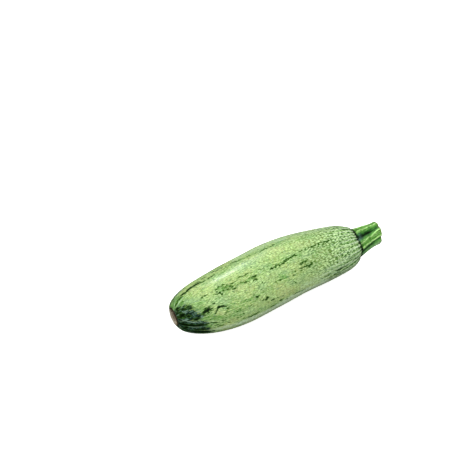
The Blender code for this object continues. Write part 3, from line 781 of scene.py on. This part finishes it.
def waxy_skin():
    """Zucchini skin: a thin smooth wax over green tissue, with paler flecks and darker broken stripes.

    The wax gives a soft highlight. The flecks stand in rows along the fruit, are longer than wide, and
    come out more clearly towards the stem, where the ground between them is greener.
    """
    skin, node = empty_material("waxy_zucchini_skin")
    place = node("Attribute", {}, out=1, attribute_name="skin")
    along, across, up = node("SeparateXYZ", {"Vector": place}, out=None).outputs
    marks = node("Attribute", {}, out=1, attribute_name="marks")
    dark, wash, green = node("SeparateXYZ", {"Vector": marks}, out=None).outputs
    lights = node("Attribute", {}, out=1, attribute_name="lights")
    frost_and_sheen, stripe, furrow = node("SeparateXYZ", {"Vector": lights}, out=None).outputs

    # How far towards the stem: 0 until a little past the middle, and 1 at the shoulder
    shoulder = node(
        "MapRange",
        {"Value": along, "From Min": SHOULDER_FROM, "From Max": SHOULDER_TO},
        interpolation_type="SMOOTHSTEP",
    )

    noises = []
    for length, width, detail, roughness in SKIN_NOISES:
        sized = node("VectorMath", {0: place, 1: (1 / length, 1 / width, 1 / width)}, operation="MULTIPLY")
        sockets = {"Vector": sized, "Scale": 1.0, "Detail": detail, "Roughness": roughness}
        noises.append(node("TexNoise", sockets))
    patches, streak, grain, dashes, grit, blots = noises

    # Pale flecks: cells counted along the fruit and round it from its top, so that they close under it
    turn = node("Math", {0: across, 1: up}, operation="ARCTAN2")
    turn = node("Math", {0: turn, 1: FLECK_ROWS / TURN}, operation="MULTIPLY")
    row = node("Math", {0: along, 1: 1.0 / FLECK_SPACING}, operation="MULTIPLY")
    cells = node("CombineXYZ", {"X": row, "Y": turn})
    shaken = node("TexNoise", {"Vector": place, "Scale": 0.25, "Detail": 1.0}, out=1)
    cells = node("VectorMath", {0: shaken, 1: FLECK_SHAKE, 2: cells}, operation="MULTIPLY_ADD")
    cells = node(
        "TexVoronoi", {"Vector": cells, "Scale": 1.0, "Randomness": 0.65}, voronoi_dimensions="2D"
    )
    flecks = node("Math", {0: dashes, 1: 0.8}, operation="MULTIPLY")
    flecks = node("Math", {0: flecks, 1: cells}, operation="SUBTRACT")
    flecks = node(
        "MapRange", {"Value": flecks, "From Min": -0.06, "From Max": 0.1}, interpolation_type="SMOOTHSTEP"
    )

    ground = node("ValToRGB", {"Fac": patches}, stops=GROUND_STOPS)
    greener = node("ValToRGB", {"Fac": patches}, stops=SHOULDER_STOPS)
    colour = node("Mix", {0: shoulder, 6: ground, 7: greener}, out=2, data_type="RGBA")
    pale = node("ValToRGB", {"Fac": shoulder}, stops=FLECK_STOPS)
    strength = node("MapRange", {"Value": shoulder, "To Min": 0.6, "To Max": 0.95})
    strength = node("Math", {0: flecks, 1: strength}, operation="MULTIPLY")

    # Green streaks, closer together on the stripes, and the stripes' leafy green
    torn = node("Math", {0: streak, 1: grain}, operation="ADD")
    torn = node("Math", {0: torn, 1: 1.0}, operation="SUBTRACT")
    lines = node("Math", {0: stripe, 1: 0.12, 2: streak}, operation="MULTIPLY_ADD")
    lines = node("MapRange", {"Value": lines, "From Min": 0.6, "From Max": 0.74, "To Max": 0.6})
    leafy = node("Math", {0: torn, 1: 2.4, 2: green}, operation="MULTIPLY_ADD")
    leafy = node("MapRange", {"Value": leafy, "From Min": 0.25, "From Max": 0.8, "To Max": 0.8})

    # The dark wash round the flower end, partly its own dark green and partly painted shade under it; the
    # pale streaks, some of them painted sheen; and the dark broken flecks
    blotted = node("Mix", {0: 0.6, 2: streak, 3: blots})
    blotted = node("Mix", {0: 0.5, 2: blotted, 3: grain})
    washed = node("ValToRGB", {"Fac": blotted}, stops=WASH_STOPS)
    wash_edge = node("Math", {0: blots, 1: 1.6, 2: -0.8}, operation="MULTIPLY_ADD")
    wash_edge = node("Math", {0: wash_edge, 1: wash}, operation="ADD")
    wash_edge = node("Math", {0: torn, 1: 0.9, 2: wash_edge}, operation="MULTIPLY_ADD")
    wash_edge = node("MapRange", {"Value": wash_edge, "From Min": 0.15, "From Max": 0.75})
    frost_and_sheen_amount = node("Math", {0: torn, 1: 1.2, 2: frost_and_sheen}, operation="MULTIPLY_ADD")
    frost_and_sheen_amount = node("MapRange", {"Value": frost_and_sheen_amount, "From Min": 0.3, "From Max": 0.95, "To Max": 0.75})
    frost_and_sheen_colour = node(
        "Mix", {0: wash_edge, 6: linear(PALE_GREEN), 7: linear(FROST_AND_SHEEN_GREEN)}, out=2, data_type="RGBA"
    )
    beads = node("Math", {0: grain, 1: 0.5}, operation="SUBTRACT")
    beads = node("Math", {0: flecks, 1: -0.15, 2: beads}, operation="MULTIPLY_ADD")
    core = node("Math", {0: beads, 1: 2.0, 2: dark}, operation="MULTIPLY_ADD")
    halo = node("MapRange", {"Value": core, "From Min": -0.05, "From Max": 0.25, "To Max": 0.6})
    near_mark = node("Math", {0: dark, 1: 0.05}, operation="GREATER_THAN")
    halo = node("Math", {0: halo, 1: near_mark}, operation="MULTIPLY")
    core = node("MapRange", {"Value": core, "From Min": 0.15, "From Max": 0.58})
    heavy = node("MapRange", {"Value": dark, "From Min": 0.95, "From Max": 1.15})
    heavy = node("Math", {0: heavy, 1: wash_edge}, operation="MAXIMUM")
    darkest = node(
        "Mix", {0: heavy, 6: linear(MARK_GREEN), 7: linear(DARK_GREEN)}, out=2, data_type="RGBA"
    )

    # Each mark over the one before it, from the pale flecks to the dark ones
    for amount, over in (
        (strength, pale),
        (lines, linear(STREAK_GREEN)),
        (leafy, linear(STREAK_GREEN)),
        (wash_edge, washed),
        (frost_and_sheen_amount, frost_and_sheen_colour),
        (halo, linear(HALO_GREEN)),
        (core, darkest),
    ):
        colour = node("Mix", {0: amount, 6: colour, 7: over}, out=2, data_type="RGBA")

    # Fine grit; at the stem end, pale ridges with painted shade in the furrows between them; and painted
    # shade along the line where the skin meets the stalk
    grit = node("MapRange", {"Value": grit, "From Min": 0.25, "From Max": 0.75, "To Min": -1.0})
    coarse = node("MapRange", {"Value": shoulder, "To Min": GRIT_SHARE, "To Max": GRIT_SHARE_AT_STEM})
    grit = node("Math", {0: grit, 1: coarse, 2: 1.0}, operation="MULTIPLY_ADD")
    colour = node("HueSaturation", {"Color": colour, "Value": grit})
    ridges = node("MapRange", {"Value": furrow, "From Min": 0.1, "From Max": 0.8, "To Max": 0.7})
    furrowed = node("MapRange", {"Value": furrow, "From Min": -0.1, "From Max": -0.8, "To Max": 0.6})
    crease = node("Math", {0: blots, 1: 10.0, 2: along}, operation="MULTIPLY_ADD")
    crease = node("Math", {0: crease, 1: 5.0}, operation="SUBTRACT")
    crease = node("Math", {0: furrow, 1: -1.1, 2: crease}, operation="MULTIPLY_ADD")
    crease = node("MapRange", {"Value": crease, "From Min": CREASE_FROM, "From Max": CREASE_TO})
    for amount, over in ((ridges, PALE_GREEN), (furrowed, STREAK_GREEN), (crease, DARK_GREEN)):
        colour = node("Mix", {0: amount, 6: colour, 7: linear(over)}, out=2, data_type="RGBA")

    height = node("Math", {0: flecks, 1: 0.5, 2: grain}, operation="MULTIPLY_ADD")
    bumps = node("Bump", {"Height": height, "Strength": 0.35, "Distance": SKIN_RELIEF})
    rough = node(
        "MapRange", {"Value": grain, "From Min": 0.3, "From Max": 0.7, "To Min": 0.36, "To Max": 0.5}
    )
    wax = node("MapRange", {"Value": wash_edge, "To Min": 0.44, "To Max": 0.14})
    shader = node(
        "BsdfPrincipled",
        {
            "Base Color": colour,
            "Roughness": rough,
            "Normal": bumps,
            "IOR": WAX_IOR,
            "Specular IOR Level": 0.12,
            "Coat Weight": wax,
            "Coat Roughness": WAX_ROUGHNESS,
            "Coat IOR": WAX_IOR,
        },
    )
    node("OutputMaterial", {"Surface": shader}, out=None)
    return skin


def fibrous_stalk():
    """Cut squash stalk: firm green tissue with fine fibres, dark in its grooves, partly by painted shade.

    The fibres give fine pale streaks and a dull sheen. The cut face is pale, with darker spots where the
    vessels end, and its edge has dried brown.
    """
    stalk, node = empty_material("fibrous_green_stalk")
    place = node("Attribute", {}, out=1, attribute_name="fibre")
    run, _, up = node("SeparateXYZ", {"Vector": place}, out=None).outputs
    tone = node("SeparateXYZ", {"Vector": node("Attribute", {}, out=1, attribute_name="tone")}, out=None)
    groove, cut, share = tone.outputs

    sizes = (1 / FIBRE_LENGTH, 1 / FIBRE_WIDTH, 1 / FIBRE_WIDTH)
    fibres = node("VectorMath", {0: place, 1: sizes}, operation="MULTIPLY")
    fibres = node("TexNoise", {"Vector": fibres, "Scale": 1.0, "Detail": 3.0, "Roughness": 0.6})
    patches = node("TexNoise", {"Vector": place, "Scale": 0.25, "Detail": 2.0})

    # The grooves grow shallower towards the cut, so their painted shade grows paler
    sockets = {"Value": run, "From Min": GROOVE_PALER_FROM, "From Max": GROOVE_PALER_TO}
    shallower = node("MapRange", sockets | {"To Min": 1.0, "To Max": GROOVE_SHARE_AT_CUT})
    shallower = node("Math", {0: groove, 1: shallower}, operation="MULTIPLY")
    uneven = node("Math", {0: patches, 1: 0.5}, operation="SUBTRACT")
    uneven = node("Math", {0: uneven, 1: 0.35, 2: shallower}, operation="MULTIPLY_ADD")
    colour = node("ValToRGB", {"Fac": uneven}, stops=STALK_STOPS)
    pale = node("MapRange", {"Value": fibres, "From Min": 0.5, "From Max": 0.75, "To Max": 0.6})
    out_of_groove = node("MapRange", {"Value": groove, "From Min": 0.75, "From Max": 0.45})
    pale = node("Math", {0: pale, 1: out_of_groove}, operation="MULTIPLY")
    deep = node("MapRange", {"Value": fibres, "From Min": 0.5, "From Max": 0.25, "To Max": 0.55})

    # Painted light: a greyer reflection on the stalk's underside, and a painted grey sheen low in its grooves
    underside_reflection = node("MapRange", {"Value": up, "From Min": 2.5, "From Max": -3.5, "To Max": 0.75})
    underside_reflection = node("Math", {0: underside_reflection, 1: out_of_groove}, operation="MULTIPLY")
    groove_sheen = node("MapRange", {"Value": run, "From Min": SHEEN_FROM, "From Max": SHEEN_TO, "To Max": 1.4})
    sheen_patches = node("MapRange", {"Value": patches, "From Min": 0.42, "From Max": 0.62})
    groove_sheen = node("Math", {0: groove_sheen, 1: sheen_patches}, operation="MULTIPLY")
    in_groove = node("MapRange", {"Value": groove, "From Min": 0.5, "From Max": 0.8, "To Max": 0.55})
    groove_sheen = node("Math", {0: groove_sheen, 1: in_groove}, operation="MULTIPLY")

    # Painted shade round the stalk's base where it meets the fruit, and the dried brown edge of the cut
    base = node("Math", {0: patches, 1: 7.0, 2: run}, operation="MULTIPLY_ADD")
    base = node("Math", {0: base, 1: 3.5}, operation="SUBTRACT")
    base = node("MapRange", {"Value": base, "From Min": BASE_SHADE_FROM, "From Max": BASE_SHADE_TO})
    dried = node("MapRange", {"Value": run, "From Min": DRIED_FROM, "From Max": DRIED_TO})
    dried = node("Math", {0: dried, 1: 0.75}, operation="MULTIPLY")
    for amount, over in (
        (pale, FIBRE_PALE),
        (deep, FIBRE_DEEP),
        (underside_reflection, STALK_UNDERSIDE_REFLECTION),
        (groove_sheen, STALK_SHEEN),
        (base, DARK_GREEN),
        (dried, DRIED_EDGE),
    ):
        colour = node("Mix", {0: amount, 6: colour, 7: linear(over)}, out=2, data_type="RGBA")

    face = node("ValToRGB", {"Fac": share}, stops=CUT_STOPS)
    vessels = node("TexVoronoi", {"Vector": place, "Scale": 0.9})
    vessels = node("MapRange", {"Value": vessels, "From Min": 0.25, "From Max": 0.1, "To Max": 0.6})
    face = node("Mix", {0: vessels, 6: face, 7: linear(VESSEL_GREEN)}, out=2, data_type="RGBA")
    colour = node("Mix", {0: cut, 6: colour, 7: face}, out=2, data_type="RGBA")

    sizes = (1 / SPECKLE_LENGTH, 1 / SPECKLE_WIDTH, 1 / SPECKLE_WIDTH)
    speckle = node("VectorMath", {0: place, 1: sizes}, operation="MULTIPLY")
    speckle = node("TexNoise", {"Vector": speckle, "Scale": 1.0, "Detail": 2.0})
    value = node(
        "MapRange", {"Value": speckle, "From Min": 0.3, "From Max": 0.7, "To Min": 0.5, "To Max": 1.45}
    )
    colour = node("HueSaturation", {"Color": colour, "Value": value})

    bumps = node("Bump", {"Height": fibres, "Strength": 0.5, "Distance": STALK_RELIEF})
    rough = node(
        "MapRange", {"Value": fibres, "From Min": 0.3, "From Max": 0.7, "To Min": 0.42, "To Max": 0.6}
    )
    sockets = {"Base Color": colour, "Roughness": rough, "Normal": bumps, "IOR": STALK_IOR}
    shader = node("BsdfPrincipled", sockets | {"Specular IOR Level": 0.35})
    node("OutputMaterial", {"Surface": shader}, out=None)
    return stalk


def dry_cork():
    """Blossom scar: dead dried tissue, tan on its raised rim and dark brown at its edge and in its pit.

    It is dull and crumbly, with a net of fine cracks, and darker on its upper side, where a shadow is
    painted.
    """
    cork, node = empty_material("dry_tan_cork")
    place = node("Attribute", {}, out=1, attribute_name="cork")
    share, _, up = node("SeparateXYZ", {"Vector": place}, out=None).outputs
    crumbs = node("TexNoise", {"Vector": place, "Scale": 1.1, "Detail": 4.0, "Roughness": 0.65})
    spread = node("Math", {0: crumbs, 1: 0.5}, operation="SUBTRACT")
    spread = node("Math", {0: spread, 1: 0.35, 2: share}, operation="MULTIPLY_ADD")
    colour = node("ValToRGB", {"Fac": spread}, stops=CORK_STOPS)
    # Painted shadow over the upper side, and the net of cracks
    upper_side_shadow = node("MapRange", {"Value": up, "From Min": -0.5, "From Max": 5.0, "To Max": 0.65})
    cracks = node("VectorMath", {0: place, 1: (0.8, 1.0, 1.0)}, operation="MULTIPLY")
    cracks = node("TexVoronoi", {"Vector": cracks, "Scale": 0.75}, feature="DISTANCE_TO_EDGE")
    cracks = node("MapRange", {"Value": cracks, "From Min": 0.09, "From Max": 0.02, "To Max": 0.7})
    for amount in (upper_side_shadow, cracks):
        colour = node("Mix", {0: amount, 6: colour, 7: linear(CORK_CRACK_AND_SHADOW)}, out=2, data_type="RGBA")
    height = node("Math", {0: cracks, 1: -0.8, 2: crumbs}, operation="MULTIPLY_ADD")
    bumps = node("Bump", {"Height": height, "Strength": 0.8, "Distance": CORK_RELIEF})
    sockets = {"Base Color": colour, "Roughness": CORK_ROUGHNESS, "Normal": bumps, "IOR": CORK_IOR}
    shader = node("BsdfPrincipled", sockets)
    node("OutputMaterial", {"Surface": shader}, out=None)
    return cork


def matt_board():
    """The table: a matt white acrylic board lit from below, as a photographer's light table is."""
    board, node = empty_material("matt_white_board")
    fine = node("TexCoord", {}, out=3)
    fine = node("TexNoise", {"Vector": fine, "Scale": BOARD_GRAINS_PER_METRE, "Detail": 2.0})
    colour = node("ValToRGB", {"Fac": fine}, stops=BOARD_STOPS)
    sockets = {"Base Color": colour, "Roughness": 0.9, "Specular IOR Level": 0.2}
    sockets |= {"Emission Color": linear(STUDIO_WHITE), "Emission Strength": TABLE_GLOW}
    shader = node("BsdfPrincipled", sockets)
    node("OutputMaterial", {"Surface": shader}, out=None)
    return board


def table_top():
    """A square of white board that the zucchini lies on, at height 0."""
    mesh = bpy.data.meshes.new("table_top")
    half = TABLE_HALF
    corners = [(-half, -half, 0.0), (half, -half, 0.0), (half, half, 0.0), (-half, half, 0.0)]
    mesh.from_pydata(corners, [], [(0, 1, 2, 3)])
    table = in_scene("table_top", mesh)
    table.visible_diffuse = table.visible_glossy = False
    return table


def backdrop():
    """A dome of white paper that stands on the table: a sphere's upper half.

    It fills the view behind the zucchini from any side, and neither lights nor shades it.
    """
    rise = np.linspace(0.0, math.pi / 2.0, BACKDROP_GRID[0])[:, None]
    round_it = np.linspace(0.0, TURN, BACKDROP_GRID[1], endpoint=False)[None, :]
    reach = BACKDROP_RADIUS * np.cos(rise)
    x, y = reach * np.cos(round_it), reach * np.sin(round_it)
    z = np.broadcast_to(BACKDROP_RADIUS * np.sin(rise), x.shape)
    places = np.stack([x, y, z], axis=-1).reshape(-1, 3)
    here = np.arange(len(places)).reshape(x.shape)
    there = np.roll(here, -1, axis=1)
    quads = np.stack([here[:-1], here[1:], there[1:], there[:-1]], axis=-1).reshape(-1, 4)
    mesh = bpy.data.meshes.new("paper_backdrop")
    mesh.from_pydata(places.tolist(), [], quads.tolist())
    dome = in_scene("paper_backdrop", mesh)
    dome.visible_diffuse = dome.visible_glossy = dome.visible_shadow = False
    return dome


def white_paper():
    """Backdrop paper: matt white, lit from behind until it is even."""
    paper, node = empty_material("white_backdrop_paper")
    shader = node("Emission", {"Color": linear(STUDIO_WHITE), "Strength": 1.0})
    node("OutputMaterial", {"Surface": shader}, out=None)
    return paper


def place_softbox(name, direction, distance, width, height, power, shines):
    """A white light of this width and height, at a distance in one direction and facing the zucchini."""
    lamp = bpy.data.lights.new(name, "AREA")
    lamp.shape, lamp.size, lamp.size_y, lamp.energy = "RECTANGLE", width, height, power
    softbox = in_scene(name, lamp)
    towards = Vector(direction).normalized()
    softbox.location = towards * distance + Vector((0.0, 0.0, AXIS_HEIGHT))
    softbox.rotation_euler = towards.to_track_quat("Z", "Y").to_euler()
    softbox.visible_glossy = shines


def place_world():
    """White light from the whole room, weaker from below, where the table keeps it off."""
    world = bpy.data.worlds.new("studio")
    world.use_nodes = True
    world.node_tree.nodes.clear()
    height = add(world, "SeparateXYZ", {"Vector": add(world, "TexCoord", {}, out=0)}, out=2)
    sockets = {"Value": height, "From Min": -0.35, "From Max": 0.15}
    sockets |= {"To Min": STUDIO_FROM_BELOW, "To Max": STUDIO_STRENGTH}
    strength = add(world, "MapRange", sockets)
    glow = add(world, "Background", {"Color": linear(STUDIO_WHITE), "Strength": strength})
    add(world, "OutputWorld", {"Surface": glow}, out=None)
    world.cycles_visibility.glossy = False
    bpy.context.scene.world = world


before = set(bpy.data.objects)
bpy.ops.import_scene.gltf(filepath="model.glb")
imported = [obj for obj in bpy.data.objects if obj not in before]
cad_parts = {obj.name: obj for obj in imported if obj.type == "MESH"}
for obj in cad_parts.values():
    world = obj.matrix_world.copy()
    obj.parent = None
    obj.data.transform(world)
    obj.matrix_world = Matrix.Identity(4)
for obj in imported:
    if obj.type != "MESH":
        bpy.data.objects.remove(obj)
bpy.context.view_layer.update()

fruit = fruit_surface()
stem = stem_surface()
scar = scar_surface()
for piece, node_name, slot_name, material in (
    (fruit, "fruit", "fruit_skin", waxy_skin()),
    (stem, "stem", "stem_green", fibrous_stalk()),
    (scar, "blossom_scar", "scar_cork", dry_cork()),
):
    piece.data.materials.append(material)
    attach(piece, "root")
    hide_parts(node_name)

table = table_top()
table.data.materials.append(matt_board())
dome = backdrop()
dome.data.materials.append(white_paper())
place_world()
for softbox in SOFTBOXES:
    place_softbox(*softbox)
place_camera()
bpy.context.scene.view_settings.view_transform = "Standard"
